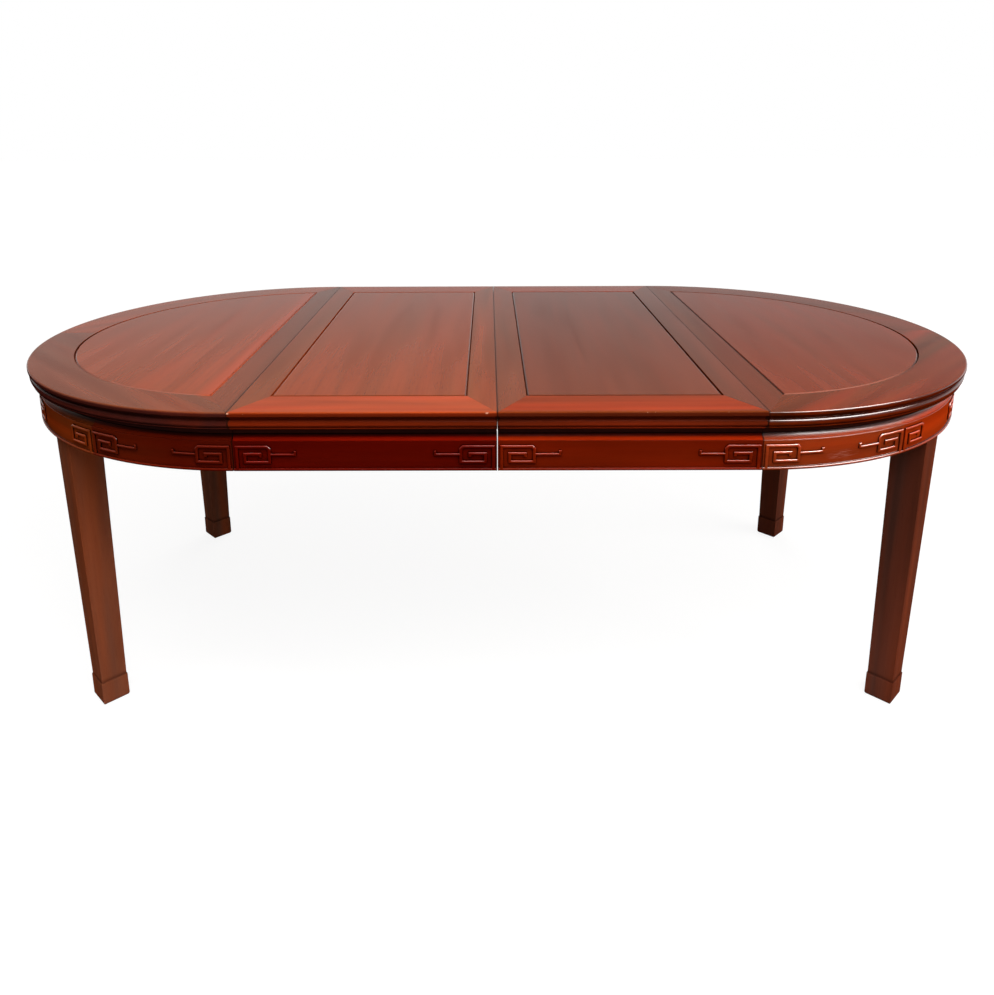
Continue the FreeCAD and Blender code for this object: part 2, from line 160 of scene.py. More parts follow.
# %% Lamps
def soft_lamp(name, place, target, size, size_y, power, colour=(1.0, 0.98, 0.96)):
    """A rectangular lamp at a place, aimed at a target, with its two sizes in metres and power in watts."""
    bpy.ops.object.select_all(action="DESELECT")
    bpy.ops.object.light_add(type="AREA", location=place)
    lamp = bpy.context.object
    lamp.name = name
    lamp.rotation_euler = (Vector(target) - Vector(place)).to_track_quat("-Z", "Y").to_euler()
    lamp.data.shape = "RECTANGLE"
    lamp.data.size = size
    lamp.data.size_y = size_y
    lamp.data.energy = power
    lamp.data.color = colour
    return lamp


overhead = soft_lamp("overhead", (-0.3, -1.2, 2.5), (-0.1, -0.3, 0.76), 3.0, 0.7, 49.5)
window = soft_lamp("window", (3.2, -0.8, 1.8), (0.7, -0.3, 0.7), 2.4, 1.2, 56, (1.0, 0.97, 0.93))
behind = soft_lamp("behind", (0.4, 3.2, 1.7), (0.0, 0.4, 0.7), 2.4, 1.2, 34)
soft_lamp("front_window", (0.9, -2.4, 2.9), (0.1, -0.5, 0.7), 2.4, 1.0, 42)
card = soft_lamp("white_card", (2.35, -1.34, 2.45), (0.7, -0.57, 0.75), 2.4, 1.2, 190)
for lamp in (overhead, window, behind):
    lamp.visible_glossy = False
card.visible_diffuse = False
for lamp in (behind, card):
    lamp.visible_camera = False
scene = bpy.context.scene
scene.view_settings.view_transform = "Standard"

# %% [markdown]
# ## Drawing a section
# Every moulding on this table is a section that is swept along a line or round a centre. A section is
# drawn the way a pencil would: one point, pulled on from corner to corner with extrude, then filled. Because
# operators act on all that is selected, a helper that adds a piece first lets go of everything else.

# %% Drawing helpers
merge_distance = 0.000002


def pull(points):
    """Extrude what is selected along a row of points."""
    for start, end in zip(points, points[1:]):
        bpy.ops.mesh.extrude_region_move(TRANSFORM_OT_translate={"value": Vector(end) - Vector(start)})


def draw_outline(name, points):
    """Pull one point from corner to corner and fill the outline; stays in edit mode."""
    bpy.ops.object.select_all(action="DESELECT")
    bpy.ops.mesh.primitive_plane_add(size=0.001, location=points[0])
    piece = bpy.context.object
    piece.name = piece.data.name = name
    bpy.ops.object.transform_apply(location=True)
    bpy.ops.object.mode_set(mode="EDIT")
    bpy.ops.mesh.select_all(action="SELECT")
    bpy.ops.mesh.merge(type="CENTER")
    pull(points)
    bpy.ops.mesh.select_all(action="SELECT")
    bpy.ops.mesh.edge_face_add()
    return piece


def leave_edit_mode():
    """Merge doubles, turn the faces outwards and go back to object mode."""
    bpy.ops.mesh.select_all(action="SELECT")
    bpy.ops.mesh.remove_doubles(threshold=merge_distance)
    bpy.ops.mesh.normals_make_consistent(inside=False)
    bpy.ops.object.mode_set(mode="OBJECT")


print("points are merged within", 1000 * merge_distance, "mm")

# %% [markdown]
# ## Sawing, softening and copying
# A joiner saws a mitre, takes the sharp edges off and makes the next board like the first. Here the saw is
# the bisect operator, which also closes the cut. The Bevel modifier rounds only edges that are sharp
# enough, and a copy is turned about an upright line, or mirrored and then turned right side out again.

# %% Finishing helpers
sharp_angle = 50


def cut_mitre(place, keep):
    """Saw the piece through an upright plane and close the cut; the side that keep points to stays."""
    bpy.ops.mesh.select_all(action="SELECT")
    bpy.ops.mesh.bisect(plane_co=place, plane_no=Vector(keep).normalized(), use_fill=True, clear_inner=True)


def soften_edges(piece, width, steps=2, angle=sharp_angle):
    """Round the sharp edges that a plane and sandpaper would take off."""
    bevel = piece.modifiers.new("softened", "BEVEL")
    bevel.width = width
    bevel.segments = steps
    bevel.limit_method = "ANGLE"
    bevel.angle_limit = math.radians(angle)
    bpy.ops.object.modifier_apply(modifier="softened")


def copy_piece(piece, name, turned=0, about=(0, 0, 0), mirrored=False):
    """A copy with its own mesh, turned about an upright line or mirrored from front to back."""
    bpy.ops.object.select_all(action="DESELECT")
    piece.select_set(True)
    bpy.context.view_layer.objects.active = piece
    bpy.ops.object.duplicate(linked=False)
    twin = bpy.context.object
    twin.name = twin.data.name = name
    spin = Matrix.Rotation(math.radians(turned), 3, "Z")
    twin.location = Vector(about) - spin @ Vector(about)
    twin.rotation_euler.z = math.radians(turned)
    twin.scale.y = -1 if mirrored else 1
    bpy.ops.object.transform_apply(location=True, rotation=True, scale=True)
    if mirrored:
        bpy.ops.object.mode_set(mode="EDIT")
        leave_edit_mode()
    return twin


print("edges over", sharp_angle, "degrees are softened")

# %% [markdown]
# ## The moulded edge of the top
# The edge has a small rounded arris, a lip, a hollow cove, a fat bead and a small roll along the underside.
# Each curve is a short run of points on a circle. One function gives the whole edge as distance from
# the middle and height, and the same edge then serves the round rims and the straight leaves, so they meet.

# %% Edge section
top_level = 0.762
under_level = 0.726
end_radius = 0.610
rim_width = 0.095
arris_radius = 0.004
lip_height = 0.008
cove_radius = 0.008
bead_height = 0.015
bead_depth = 0.0055
roll_depth = 0.0019


def on_circle(centre, radius, start, end, steps):
    """Points on a circle in the plane of the section, angles in degrees."""
    angles = [math.radians(start + (end - start) * i / steps) for i in range(steps + 1)]
    return [(centre[0] + radius * math.cos(a), centre[1] + radius * math.sin(a)) for a in angles]


def bulge(neck, low, high, depth, steps):
    """A rounded bead between two levels, standing out by depth from an upright line."""
    half = (high - low) / 2
    radius = (half ** 2 + depth ** 2) / (2 * depth)
    reach = math.degrees(math.asin(half / radius))
    return on_circle((neck + depth - radius, low + half), radius, -reach, reach, steps)


def moulded_edge(outer):
    """The edge from underside to top, as (distance, level)."""
    neck = outer - cove_radius
    bead_top = top_level - lip_height - cove_radius
    bead_bottom = bead_top - bead_height
    edge = bulge(neck, under_level, bead_bottom, roll_depth, 8)
    edge += bulge(neck, bead_bottom, bead_top, bead_depth, 14)[1:]
    edge += on_circle((outer, bead_top), cove_radius, 180, 90, 8)[1:]
    edge += on_circle((outer - arris_radius, top_level - arris_radius), arris_radius, 0, 90, 6)
    return edge


edge = moulded_edge(end_radius)
print("edge section:", len(edge), "points,", round(1000 * (edge[-1][1] - edge[0][1])), "mm high")

# %% [markdown]
# ## The round rims
# Each half-round end is framed by two curved boards that butt together at the tip and are mitred to a
# straight rail at the joint. The section is drawn once and spun a quarter turn about the centre of
# the end; the saw cut of the mitre is a bisect. The back board is the front one mirrored, and the
# left end is the right end after half a turn.

# %% Rims
leaf_width = 0.495
half_gap = 0.0003
rail_width = 0.057
frame_rounding = 0.0005
frame_radius = end_radius - rim_width
corner_y = math.sqrt(frame_radius ** 2 - rail_width ** 2)
end_centre = (leaf_width, 0, 0)
pieces = {}

rim_section = [(frame_radius, under_level)] + edge + [(frame_radius, top_level)]
rim = draw_outline("right_rim_front_lacquered", [(leaf_width + r, 0, z) for r, z in rim_section])
bpy.ops.mesh.spin(steps=90, angle=math.radians(90), center=end_centre, axis=(0, 0, 1))
cut_mitre((leaf_width, -end_radius, 0), (end_radius - corner_y, -rail_width, 0))
leave_edit_mode()
soften_edges(rim, frame_rounding)
pieces["right_rim_front"] = rim
pieces["right_rim_back"] = copy_piece(rim, "right_rim_back_lacquered", mirrored=True)
print("rim:", len(rim.data.polygons), "faces")

# %% [markdown]
# ## The straight rails
# The rails at the joints run right across the table and are mitred into the rims and front rails. Their
# section therefore has the moulded edge at both ends, so that the tips of the mitres end in the same
# profile. The front rail of a leaf is the edge section pulled along the leaf and mitred twice.

# %% Rails
def cross_rail(name, start, inner_y):
    """A rail across the table, from one mitred tip to the other, its joint face at start."""
    far = [(-distance, level) for distance, level in reversed(edge)]
    points = [(start + half_gap, y, z) for y, z in edge + far]
    rail = draw_outline(name, points)
    bpy.ops.mesh.extrude_region_move(TRANSFORM_OT_translate={"value": (rail_width - half_gap, 0, 0)})
    slope = end_radius - inner_y
    cut_mitre((start, -end_radius, 0), (-slope, rail_width, 0))
    cut_mitre((start, end_radius, 0), (-slope, -rail_width, 0))
    leave_edit_mode()
    soften_edges(rail, frame_rounding)
    return rail


def front_rail(name):
    """The rail along the front of the right leaf, mitred at both ends."""
    rail = draw_outline(name, [(half_gap, -r, z) for r, z in rim_section])
    bpy.ops.mesh.extrude_region_move(TRANSFORM_OT_translate={"value": (leaf_width - 2 * half_gap, 0, 0)})
    cut_mitre((0, -end_radius, 0), (rim_width, -rail_width, 0))
    cut_mitre((leaf_width, -end_radius, 0), (-rim_width, -rail_width, 0))
    leave_edit_mode()
    soften_edges(rail, frame_rounding)
    return rail


leaf_middle = (leaf_width / 2, 0, 0)
pieces["right_cross_rail"] = cross_rail("right_cross_rail_lacquered", leaf_width, corner_y)
inner = cross_rail("right_leaf_inner_rail_lacquered", 0, frame_radius)
pieces["right_leaf_inner_rail"] = inner
pieces["right_leaf_outer_rail"] = copy_piece(inner, "right_leaf_outer_rail_lacquered", 180, leaf_middle)
rail = front_rail("right_leaf_front_rail_lacquered")
pieces["right_leaf_front_rail"] = rail
pieces["right_leaf_back_rail"] = copy_piece(rail, "right_leaf_back_rail_lacquered", 180, leaf_middle)
print("rails:", len(inner.data.polygons), "and", len(rail.data.polygons), "faces")

# %% [markdown]
# ## The floating panels
# A panel lies loose in its frame so that the wood can move. It is flush with the frame and has a sloping
# border all round, which draws the dark and bright lines seen in the photograph. Inset makes a smaller
# face inside the top, and when that face is moved up, the ring around it becomes the slope.

# %% Panels
panel_gap = 0.0001
panel_thickness = 0.018
panel_rounding = 0.0009
bevel_width = 0.0055
bevel_depth = 0.0034
below_frame = 0.0001
panel_bottom = top_level - panel_thickness


def raise_panel(piece):
    """Give the flat outline its thickness and the sloping border of its top."""
    wall = panel_thickness - bevel_depth - below_frame
    bpy.ops.mesh.extrude_region_move(TRANSFORM_OT_translate={"value": (0, 0, wall)})
    bpy.ops.mesh.inset(thickness=bevel_width, depth=0, use_boundary=True)
    bpy.ops.transform.translate(value=(0, 0, bevel_depth))
    leave_edit_mode()
    soften_edges(piece, panel_rounding, 3, 20)


bpy.ops.object.select_all(action="DESELECT")
bpy.ops.mesh.primitive_circle_add(vertices=360, radius=frame_radius - panel_gap, fill_type="NGON",
                                  location=(leaf_width, 0, panel_bottom))
panel = bpy.context.object
panel.name = panel.data.name = "right_end_panel_lacquered"
bpy.ops.object.transform_apply(location=True)
bpy.ops.object.mode_set(mode="EDIT")
bpy.ops.mesh.select_all(action="SELECT")
straight_side = (leaf_width + rail_width + panel_gap, 0, 0)
bpy.ops.mesh.bisect(plane_co=straight_side, plane_no=(1, 0, 0), clear_inner=True)
bpy.ops.mesh.select_all(action="SELECT")
raise_panel(panel)
pieces["right_end_panel"] = panel

half_length = leaf_width / 2 - rail_width - panel_gap
half_depth = frame_radius - panel_gap
corners = [(-1, -1), (1, -1), (1, 1), (-1, 1)]
points = [(leaf_width / 2 + a * half_length, b * half_depth, panel_bottom) for a, b in corners]
panel = draw_outline("right_leaf_panel_lacquered", points)
raise_panel(panel)
pieces["right_leaf_panel"] = panel
print("leaf panel:", [round(v, 3) for v in panel.dimensions])

# %% [markdown]
# ## The waist
# Between the top and the apron a narrow strip stands back and stays dark in their shadow. On the ends
# it is half a ring, so a small rectangle is spun half a turn; on a leaf it is a straight strip at the front
# and one at the back. The sections of the table don't quite touch, and a thin slit is left at each joint.

# %% Waist strips
apron_inner = 0.565
apron_radius = 0.590
apron_bottom = 0.640
apron_top = 0.710
waist_radius = 0.578
end_slit = 0.0004
centre_slit = 0.0010
board_rounding = 0.0006
split_angle = -90 + math.degrees(math.asin(end_slit / apron_radius))


def ring_piece(name, section, start, end):
    """Spin a section of (distance, level) about the right end, between two angles in degrees."""
    direction = Vector((math.cos(math.radians(start)), math.sin(math.radians(start)), 0))
    points = [Vector(end_centre) + direction * r + Vector((0, 0, z)) for r, z in section]
    piece = draw_outline(name, points)
    # The spin operator turns clockwise for a positive angle, so the angle is given as start minus end.
    clockwise = math.radians(start - end)
    bpy.ops.mesh.spin(steps=round(end - start), angle=clockwise, center=end_centre, axis=(0, 0, 1))
    leave_edit_mode()
    soften_edges(piece, board_rounding)
    return piece


def straight_piece(name, section):
    """Pull a section along the front of the right leaf, from the centre slit to the end slit."""
    piece = draw_outline(name, [(centre_slit, -r, z) for r, z in section])
    length = leaf_width - centre_slit - end_slit
    bpy.ops.mesh.extrude_region_move(TRANSFORM_OT_translate={"value": (length, 0, 0)})
    leave_edit_mode()
    soften_edges(piece, board_rounding)
    return piece


def join_pieces(first, others):
    """Join the others to the first piece, which keeps its name."""
    bpy.ops.object.select_all(action="DESELECT")
    for piece in (*others, first):
        piece.select_set(True)
    bpy.context.view_layer.objects.active = first
    bpy.ops.object.join()
    return first


strip = [(apron_inner, apron_top), (waist_radius, apron_top),
         (waist_radius, under_level), (apron_inner, under_level)]
# The waist strips get near-black wood further on, which is painted shade.
pieces["right_waist"] = ring_piece("right_waist_stained", strip, split_angle, -split_angle)
waist = straight_piece("right_leaf_waist_stained", strip)
pieces["right_leaf_waist"] = join_pieces(waist, [copy_piece(waist, "back_strip", mirrored=True)])
print("leaf waist:", [round(v, 3) for v in pieces["right_leaf_waist"].dimensions])

# %% [markdown]
# ## The aprons
# Below the waist the apron goes right round the table, in short curved segments with butt joints. Its
# section has a hollow cove along the top, with a rounded edge that catches the light, and a small bead
# along the bottom. The curved segments are spun and the straight ones on the leaves are pulled along.

# %% Apron boards
bottom_bead = 0.003
face_start = 0.0065
upper_edge = 0.0015
face_end = 0.012
hollow_radius = 0.020
hollow_centre = (apron_radius + 0.0083, apron_top + 0.0068)


def apron_section():
    """The bottom, the bead, the face with its rounded upper edge, and the cove up to the waist."""
    section = [(apron_inner, apron_bottom), (apron_radius + 0.0015, apron_bottom)]
    section += on_circle((apron_radius + 0.0005, apron_bottom + bottom_bead), bottom_bead, -70, 90, 8)
    section += [(apron_radius, apron_bottom + face_start)]
    section += on_circle((apron_radius - upper_edge, apron_top - face_end), upper_edge, 0, 90, 4)
    section += on_circle(hollow_centre, hollow_radius, -120, -160, 8)
    return section + [(apron_inner, apron_top)]


joint_angles = (-59.5, -30.5)
aprons = {
    "apron_front": ring_piece("right_apron_front_lacquered", apron_section(), split_angle, joint_angles[0]),
    "apron_front_corner": ring_piece("right_apron_front_corner_lacquered", apron_section(), *joint_angles),
    "apron_end": ring_piece("right_apron_end_lacquered", apron_section(), joint_angles[1], -joint_angles[1]),
    "leaf_apron_front": straight_piece("right_leaf_apron_front_lacquered", apron_section()),
}
print("apron boards:", {key: len(board.data.polygons) for key, board in aprons.items()})

# %% [markdown]
# ## The key fret
# At both ends of each apron board a key fret stands out in relief: a line that winds inwards, with a
# straight tail. It is carved from the board, with rounded shoulders. Its centre line is a row of points in
# millimetres. The two sides of the bar are drawn from them, bridged into a ribbon and pulled out of the
# board, and the front edges are bevelled round. Short steps along the ribbon let it bend on to the
# curved boards.

# %% Sides of the fret
def fine_steps(points, longest):
    """Divide the runs of a line into steps no longer than longest."""
    line = [points[0]]
    for start, end in zip(points, points[1:]):
        count = max(1, math.ceil(math.dist(start, end) / longest))
        for i in range(1, count + 1):
            line.append(tuple(a + (b - a) * i / count for a, b in zip(start, end)))
    return line


def ribbon_side(line, offset):
    """One side of the bar: the line moved sideways, with mitred corners."""
    side = []
    for i, point in enumerate(line):
        before = line[max(i - 1, 0)]
        after = line[min(i + 1, len(line) - 1)]
        normals = []
        for start, end in ((before, point), (point, after)):
            step = Vector((end[0] - start[0], end[1] - start[1]))
            if step.length:
                step.normalize()
                normals.append(Vector((-step.y, step.x)))
        total = normals[0] + normals[-1]
        shift = total * (2 * offset / total.length_squared)
        side.append((point[0] + shift.x, 0, point[1] + shift.y))
    return side


winding = [(7, 1), (7, 48), (63.5, 48), (68, 43.5), (68, 17.5), (22, 17.5), (22, 34), (51, 34), (51, 27)]
tail = [(69, 32.5), (116, 32.5), (116, 40.5)]
print("key fret:", sum(round(math.dist(a, b)) for a, b in zip(winding, winding[1:])), "mm of winding")

# %% Fret ribbon
longest_step = 0.008
root_depth = 0.0008


def carved_bar(name, line, width, relief, rounding):
    """A rounded bar along a line in the plane of the board, standing out towards -Y."""
    line = fine_steps([(u / 1000, v / 1000) for u, v in line], longest_step)
    first = ribbon_side(line, width / 2)
    second = ribbon_side(line, -width / 2)
    bpy.ops.object.select_all(action="DESELECT")
    bpy.ops.mesh.primitive_plane_add(size=0.0001, location=(0, 0, 0))
    bar = bpy.context.object
    bar.name = bar.data.name = name
    bpy.ops.object.mode_set(mode="EDIT")
    bpy.ops.mesh.select_all(action="SELECT")
    bpy.ops.mesh.merge(type="CENTER")
    bpy.ops.transform.translate(value=first[0])
    pull(first)
    bpy.ops.mesh.primitive_plane_add(size=0.0001, location=second[0])
    bpy.ops.mesh.merge(type="CENTER")
    pull(second)
    bpy.ops.mesh.select_all(action="SELECT")
    bpy.ops.mesh.bridge_edge_loops()
    bpy.ops.mesh.select_all(action="SELECT")
    bpy.ops.transform.translate(value=(0, root_depth, 0))
    bpy.ops.mesh.extrude_region_move(TRANSFORM_OT_translate={"value": (0, -relief - root_depth, 0)})
    bpy.ops.mesh.region_to_loop()
    bpy.ops.mesh.bevel(offset=rounding, segments=4, affect="EDGES", clamp_overlap=False)
    leave_edit_mode()
    return bar


short_key = carved_bar("short_key", winding, width=0.0065, relief=0.0034, rounding=0.0024)
key_tail = carved_bar("key_tail", tail, width=0.0052, relief=0.0031, rounding=0.0019)
key = join_pieces(copy_piece(short_key, "key"), [key_tail])
print("key fret:", len(key.data.polygons), "faces,", [round(1000 * v, 1) for v in key.dimensions], "mm")

# %% [markdown]
# ## Frets on the boards
# A key starts at each joint and winds away from it, so neighbouring keys mirror each other. For the curved
# boards a copy is bent with the Simple Deform modifier: the angle of the bend is the length of the key
# divided by the radius, which keeps its true length. Then it is turned to its joint and joined to its board.

# %% Place the frets
def place_key(model, start, angle=None, mirrored=False):
    """A copy of a key on a board: at a place on a straight board, or bent at an angle on a curved one."""
    copy = copy_piece(model, "fret")
    if angle is not None:
        bend = copy.modifiers.new("bend", "SIMPLE_DEFORM")
        bend.deform_method = "BEND"
        bend.deform_axis = "Z"
        bend.angle = copy.dimensions.x / apron_radius
        bpy.ops.object.modifier_apply(modifier="bend")
    copy.scale.x = -1 if mirrored else 1
    bpy.ops.object.transform_apply(scale=True)
    copy.location = start
    bpy.ops.object.transform_apply(location=True)
    if angle is not None:
        copy.rotation_euler.z = math.radians(angle + 90)
        copy.location = end_centre
        bpy.ops.object.transform_apply(location=True, rotation=True)
    if mirrored:
        bpy.ops.object.mode_set(mode="EDIT")
        leave_edit_mode()
    return copy


on_curve = (0, -apron_radius, apron_bottom)
spans = {
    "apron_front": (key, split_angle, joint_angles[0]),
    "apron_front_corner": (short_key, *joint_angles),
    "apron_end": (key, joint_angles[1], -joint_angles[1]),
}
for name, (model, start, end) in spans.items():
    frets = [place_key(model, on_curve, start), place_key(model, on_curve, end, mirrored=True)]
    pieces["right_" + name] = join_pieces(aprons[name], frets)
for name in ("apron_front", "apron_front_corner"):
    back = name.replace("front", "back")
    pieces["right_" + back] = copy_piece(aprons[name], "right_" + back + "_lacquered", mirrored=True)
near = (centre_slit, -apron_radius, apron_bottom)
far = (leaf_width - end_slit, -apron_radius, apron_bottom)
board = join_pieces(aprons["leaf_apron_front"], [place_key(key, near), place_key(key, far, mirrored=True)])
pieces["right_leaf_apron_front"] = board
pieces["right_leaf_apron_back"] = copy_piece(board, "right_leaf_apron_back_lacquered", 180, leaf_middle)
for model in (key, short_key):
    bpy.data.objects.remove(model)
print("leaf apron with frets:", len(board.data.polygons), "faces")

# %% [markdown]
# ## The legs
# A leg is square, tapers downwards and ends in a block foot that is a little wider. The leg is turned
# to face the corner. It starts as a cube for the foot; the top face is inset for the ledge and pulled up into
# the tapered shaft. A stub on top stands behind the apron, where the corner block holds it.

# %% Leg sizes and helpers
foot_width = 0.058
foot_height = 0.057
foot_rounding = 0.008
leg_low = 0.055
leg_high = 0.068
leg_radius = 0.550
leg_rounding = 0.0026
stub_step = 0.002
stub_clearance = 0.0002
stub_half = leg_high / 2 - stub_step
stub_outer = math.sqrt(apron_inner ** 2 - stub_half ** 2) - stub_clearance
stub_inner = leg_radius - leg_high / 2


def new_cube(name, low, high):
    """A block between two corners, with its place in the mesh."""
    middle = [(a + b) / 2 for a, b in zip(low, high)]
    size = [b - a for a, b in zip(low, high)]
    bpy.ops.object.select_all(action="DESELECT")
    bpy.ops.mesh.primitive_cube_add(size=1, location=middle, scale=size)
    cube = bpy.context.object
    cube.name = cube.data.name = name
    bpy.ops.object.transform_apply(location=True, scale=True)
    return cube


def select_faces(piece, wanted):
    """In edit mode, select just the faces whose normal passes the test."""
    bpy.ops.mesh.select_mode(type="FACE")
    bpy.ops.mesh.select_all(action="DESELECT")
    bpy.ops.object.mode_set(mode="OBJECT")
    for face in piece.data.polygons:
        face.select = wanted(face.normal)
    bpy.ops.object.mode_set(mode="EDIT")


print("leg taper:", round(leg_high / leg_low, 3))

# %% Legs
half_foot = foot_width / 2
leg = new_cube("right_leg_front_lacquered", (leg_radius - half_foot, -half_foot, 0),
               (leg_radius + half_foot, half_foot, foot_height))
bpy.ops.object.mode_set(mode="EDIT")
select_faces(leg, lambda normal: normal.z < -0.9)
bpy.ops.mesh.bevel(offset=foot_rounding, segments=5, affect="EDGES")
select_faces(leg, lambda normal: normal.z > 0.9)
bpy.ops.mesh.inset(thickness=(foot_width - leg_low) / 2, depth=0)
bpy.ops.mesh.extrude_region_move(TRANSFORM_OT_translate={"value": (0, 0, apron_bottom - foot_height)})
grow = leg_high / leg_low
bpy.ops.transform.resize(value=(grow, grow, 1), center_override=(leg_radius, 0, apron_bottom))
leave_edit_mode()
soften_edges(leg, leg_rounding, 3, 60)
stub = new_cube("stub", (stub_inner, -stub_half, apron_bottom - stub_step),
                (stub_outer, stub_half, under_level))
leg = join_pieces(leg, [stub])
leg.rotation_euler.z = math.radians(-45)
leg.location = end_centre
bpy.ops.object.transform_apply(location=True, rotation=True)
pieces["right_leg_front"] = leg
pieces["right_leg_back"] = copy_piece(leg, "right_leg_back_lacquered", mirrored=True)
print("leg:", [round(v, 3) for v in leg.dimensions])

# %% [markdown]
# ## The left half
# The left half of the table is the right half after half a turn about its middle, so its front pieces are
# turned from back pieces. Every copy has a mesh of its own.

# %% Turn the right half into the left half
def across(name):
    """The node on the other side of the table that this node becomes after half a turn."""
    name = name.replace("right_", "left_")
    if "front" in name:
        return name.replace("front", "back")
    return name.replace("back", "front")


for name, piece in list(pieces.items()):
    twin = across(name)
    pieces[twin] = copy_piece(piece, twin + "_lacquered", 180)
print("pieces that show:", len(pieces))

# %% [markdown]
# ## Smooth and flat
# A polished board shows every fault in its shading. Curved mouldings should look smooth and flat faces dead
# flat, so faces are smoothed only across gentle angles, and the Weighted Normal modifier lets the large flat
# faces decide how the light turns at the softened edges.

# %% Shading
smooth_angle = 40
for piece in pieces.values():
    bpy.ops.object.select_all(action="DESELECT")
    piece.select_set(True)
    bpy.context.view_layer.objects.active = piece
    bpy.ops.object.shade_smooth_by_angle(angle=math.radians(smooth_angle))
    piece.modifiers.new("flat_faces", "WEIGHTED_NORMAL").keep_sharp = True
    bpy.ops.object.modifier_apply(modifier="flat_faces")
print("smoothed across angles up to", smooth_angle, "degrees")

# %% [markdown]
# ## The grain of rosewood
# Rosewood is reddish brown with darker ribbons along the grain, fine streaks and short open pores, under a
# clear lacquer. The grain runs along each board, so the coordinates are turned until the board lies
# along X, and are then stretched: noise that is squeezed across the grain becomes ribbons and streaks. The
# boards of the aprons are curved, and there the angle about the centre of the end takes the place of X.

# %% Direction of the grain
def part_along(tree, place, vector, axis):
    """The X, Y or Z part of a place or a direction."""
    return node(tree, "SeparateXYZ", place, Vector=vector).outputs[axis]


def product(tree, place, first, second):
    return node(tree, "Math", place, "MULTIPLY", _0=first, _1=second).outputs[0]


def straight_grain(degrees):
    """Grain along a flat board that is turned from X towards Y."""
    def coordinates(tree, spot):
        turned = (0, 0, -math.radians(degrees))
        return node(tree, "Mapping", (-1400, 0), Vector=spot, Rotation=turned).outputs[0]
    return coordinates


def upright_grain(tree, spot):
    return node(tree, "Mapping", (-1400, 0), Vector=spot, Rotation=(0, math.pi / 2, 0)).outputs[0]


def ring_grain(centre):
    """Grain round a curved apron, about the centre of its end."""
    def coordinates(tree, spot):
        moved = node(tree, "VectorMath", (-1900, 0), _0=spot, _1=(-centre, 0, 0))
        parts = node(tree, "SeparateXYZ", (-1750, 0), Vector=moved.outputs[0]).outputs
        angle = node(tree, "Math", (-1600, 80), "ARCTAN2", _0=parts["Y"], _1=parts["X"])
        arc = product(tree, (-1450, 80), angle.outputs[0], apron_radius)
        return node(tree, "CombineXYZ", (-1400, 0), X=arc, Y=parts["Z"]).outputs[0]
    return coordinates


print("centres of the curved grain: -/+", leaf_width, "m")

# %% Ribbons, streaks and pores
streak_stretch = (5, 170, 170)
pore_stretch = (28, 900, 900)


def stretched_noise(tree, vector, row, stretch, detail, distortion=0.0):
    squeezed = node(tree, "VectorMath", (-1100, row), "MULTIPLY", _0=vector, _1=stretch)
    return node(tree, "TexNoise", (-950, row), Vector=squeezed.outputs[0], Scale=1.0, Detail=detail,
                Roughness=0.55, Distortion=distortion).outputs["Fac"]


def blend(tree, place, kind, amount, first, second):
    """Mix two colours in one of the Mix node's ways."""
    mix = tree.nodes.new("ShaderNodeMix")
    mix.data_type = "RGBA"
    mix.blend_type = kind
    mix.location = place
    for number, value in ((0, amount), (6, first), (7, second)):
        fill(tree, mix.inputs[number], value)
    return mix.outputs[2]


def grain_figure(tree, vector, mean, figure):
    """The ribbons' colour, the fine relief of streaks and pores, and slow clouds along the board."""
    ribbons = stretched_noise(tree, vector, 300, (0.9, 15, 15), 2, 0.7)
    clouds = stretched_noise(tree, vector, 50, (2.2, 28, 28), 1, 0.3)
    streaks = stretched_noise(tree, vector, -200, streak_stretch, 3)
    pores = stretched_noise(tree, vector, -450, pore_stretch, 2)
    deep = (mean[0] * (1 - figure), mean[1], mean[2] * (1 + figure), 1)
    pale = (mean[0] * (1 + figure), mean[1], mean[2] * (1 - figure), 1)
    share = tone(tree, (-780, 300), ribbons, 0.3, 0.7, 0.0, 1.0)
    colour = blend(tree, (-600, 200), "MIX", share, deep, pale)
    fine = tone(tree, (-780, -200), streaks, 0.3, 0.7, 0.95, 1.05)
    ticks = tone(tree, (-780, -450), pores, 0.60, 0.70, 1.0, 0.82)
    return colour, product(tree, (-600, -250), fine, ticks), clouds


fine_widths = [round(1000 / stretch[1], 1) for stretch in (streak_stretch, pore_stretch)]
print("streaks and pores:", fine_widths, "mm wide")

# %% [markdown]
# ## Crests and hollows
# Shade and light are painted into the wood by place: painted shade in the grooves and hollows and on the
# moulded edge, and painted highlights on edges and crests that stand out. The place is the level on the
# moulded edge, the slope round a panel, or how far the carving stands out from an apron. A ramp reads that
# height and gives how dark or light the wood is painted there. Dusters also rub whatever faces up, so the
# gloss follows the upward part of the normal: strong on the top and on upper edges, weak on upright and
# hanging faces.

# %% Height over the section
def by_level(tree, place, value, stops):
    """Read an amount from a ramp of (height, amount) pairs, given from low to high."""
    low, high = stops[0][0], stops[-1][0]
    share = tone(tree, (place[0] - 200, place[1]), value, low, high, 0.0, 1.0)
    ramp = node(tree, "ValToRGB", place, Fac=share)
    elements = ramp.color_ramp.elements
    while len(elements) < len(stops):
        elements.new(0.5)
    for element, (height, amount) in zip(elements, stops):
        element.position = (height - low) / (high - low)
        element.color = (amount, amount, amount, 1)
    return ramp.outputs["Color"]


def level_above_floor(tree, spot):
    return part_along(tree, (-1700, -700), spot, "Z")


def distance_from(centre):
    """Height for a curved apron: the distance from the centre line of its end."""
    def height(tree, spot):
        flat = node(tree, "VectorMath", (-1850, -700), "MULTIPLY", _0=spot, _1=(1, 1, 0))
        moved = node(tree, "VectorMath", (-1700, -700), _0=flat.outputs[0], _1=(-centre, 0, 0))
        return node(tree, "VectorMath", (-1550, -700), "LENGTH", _0=moved.outputs[0]).outputs["Value"]
    return height


